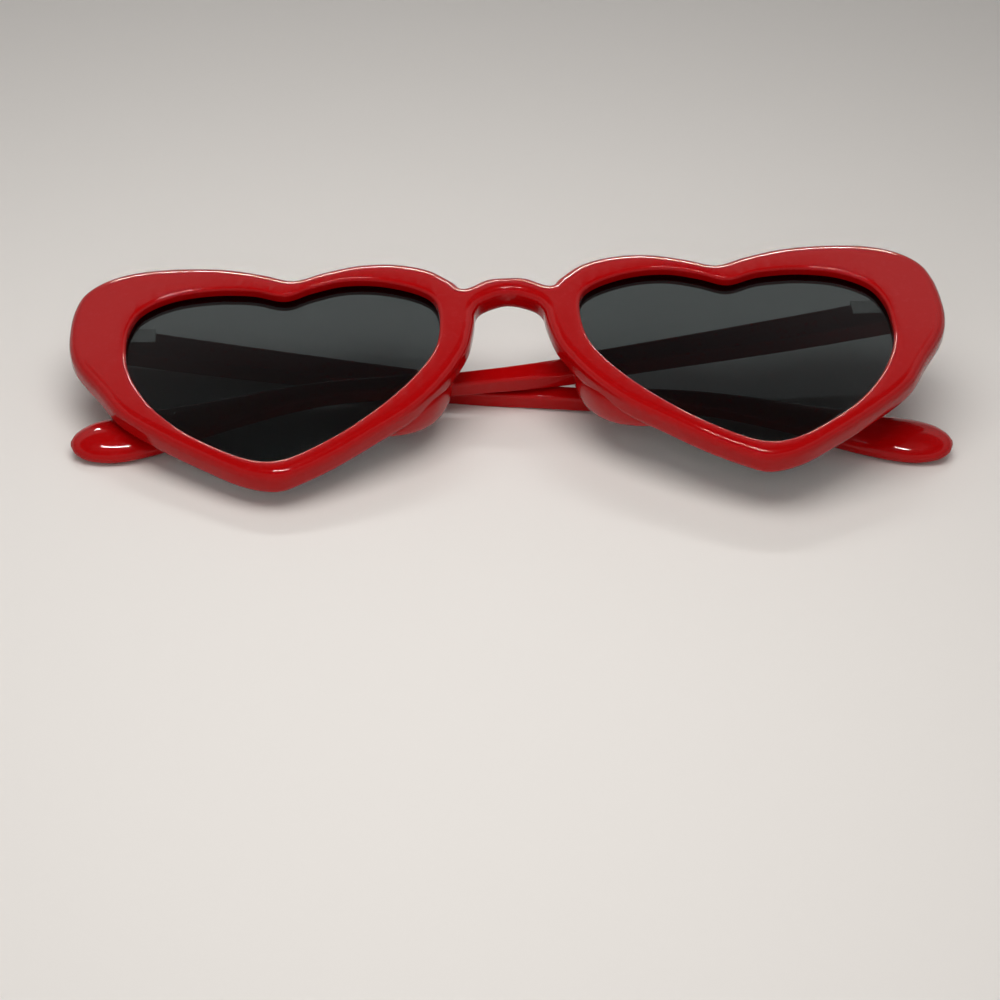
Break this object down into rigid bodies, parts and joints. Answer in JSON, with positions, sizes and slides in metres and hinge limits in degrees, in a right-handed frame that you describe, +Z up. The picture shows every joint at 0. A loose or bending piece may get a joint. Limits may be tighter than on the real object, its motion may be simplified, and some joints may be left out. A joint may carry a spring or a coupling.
{
  "type": "heart shaped sunglasses",
  "caption": "Glossy red plastic sunglasses with swept-up heart shaped rims, dark tinted lenses and curved temples, lying folded with the face up.",
  "frame": {"origin": "centre of the bounding box on the table, with the folded pair lying on its back", "axes": "+Z up from the table, +X along the front towards the wearer's left side, -Y towards the tips of the hearts; the front leans back by 12.5 degrees from the table's plane"},
  "size_m": [0.1406, 0.054, 0.0222],
  "materials": {
    "red_plastic": "polished, slightly see-through at thin edges",
    "tinted_lens": "smooth dark grey-green tint",
    "hinge_metal": "plain nickel-coloured metal"
  },
  "bodies": {
    "front": {"front_frame": "red_plastic", "left_lens": "tinted_lens", "right_lens": "tinted_lens", "left_front_hinge_leaf": "hinge_metal", "right_front_hinge_leaf": "hinge_metal", "left_hinge_screw": "hinge_metal", "right_hinge_screw": "hinge_metal"},
    "right_arm": {"right_temple": "red_plastic", "right_temple_hinge_leaf": "hinge_metal"},
    "left_arm": {"left_temple": "red_plastic", "left_temple_hinge_leaf": "hinge_metal"}
  },
  "joints": [
    {"name": "right_hinge", "type": "hinge", "parent": "front", "child": "right_arm", "pos_m": [-0.06474, 0.02133, 0.00702], "axis": [0, 0.9762, 0.217], "range_deg": [0, 87]},
    {"name": "left_hinge", "type": "hinge", "parent": "front", "child": "left_arm", "pos_m": [0.06527, 0.01982, 0.01383], "axis": [0, -0.9762, -0.217], "range_deg": [0, 90]}
  ],
  "couplings": [
    {"joint": "left_hinge", "follows": "right_hinge", "ratio": 0.7}
  ]
}
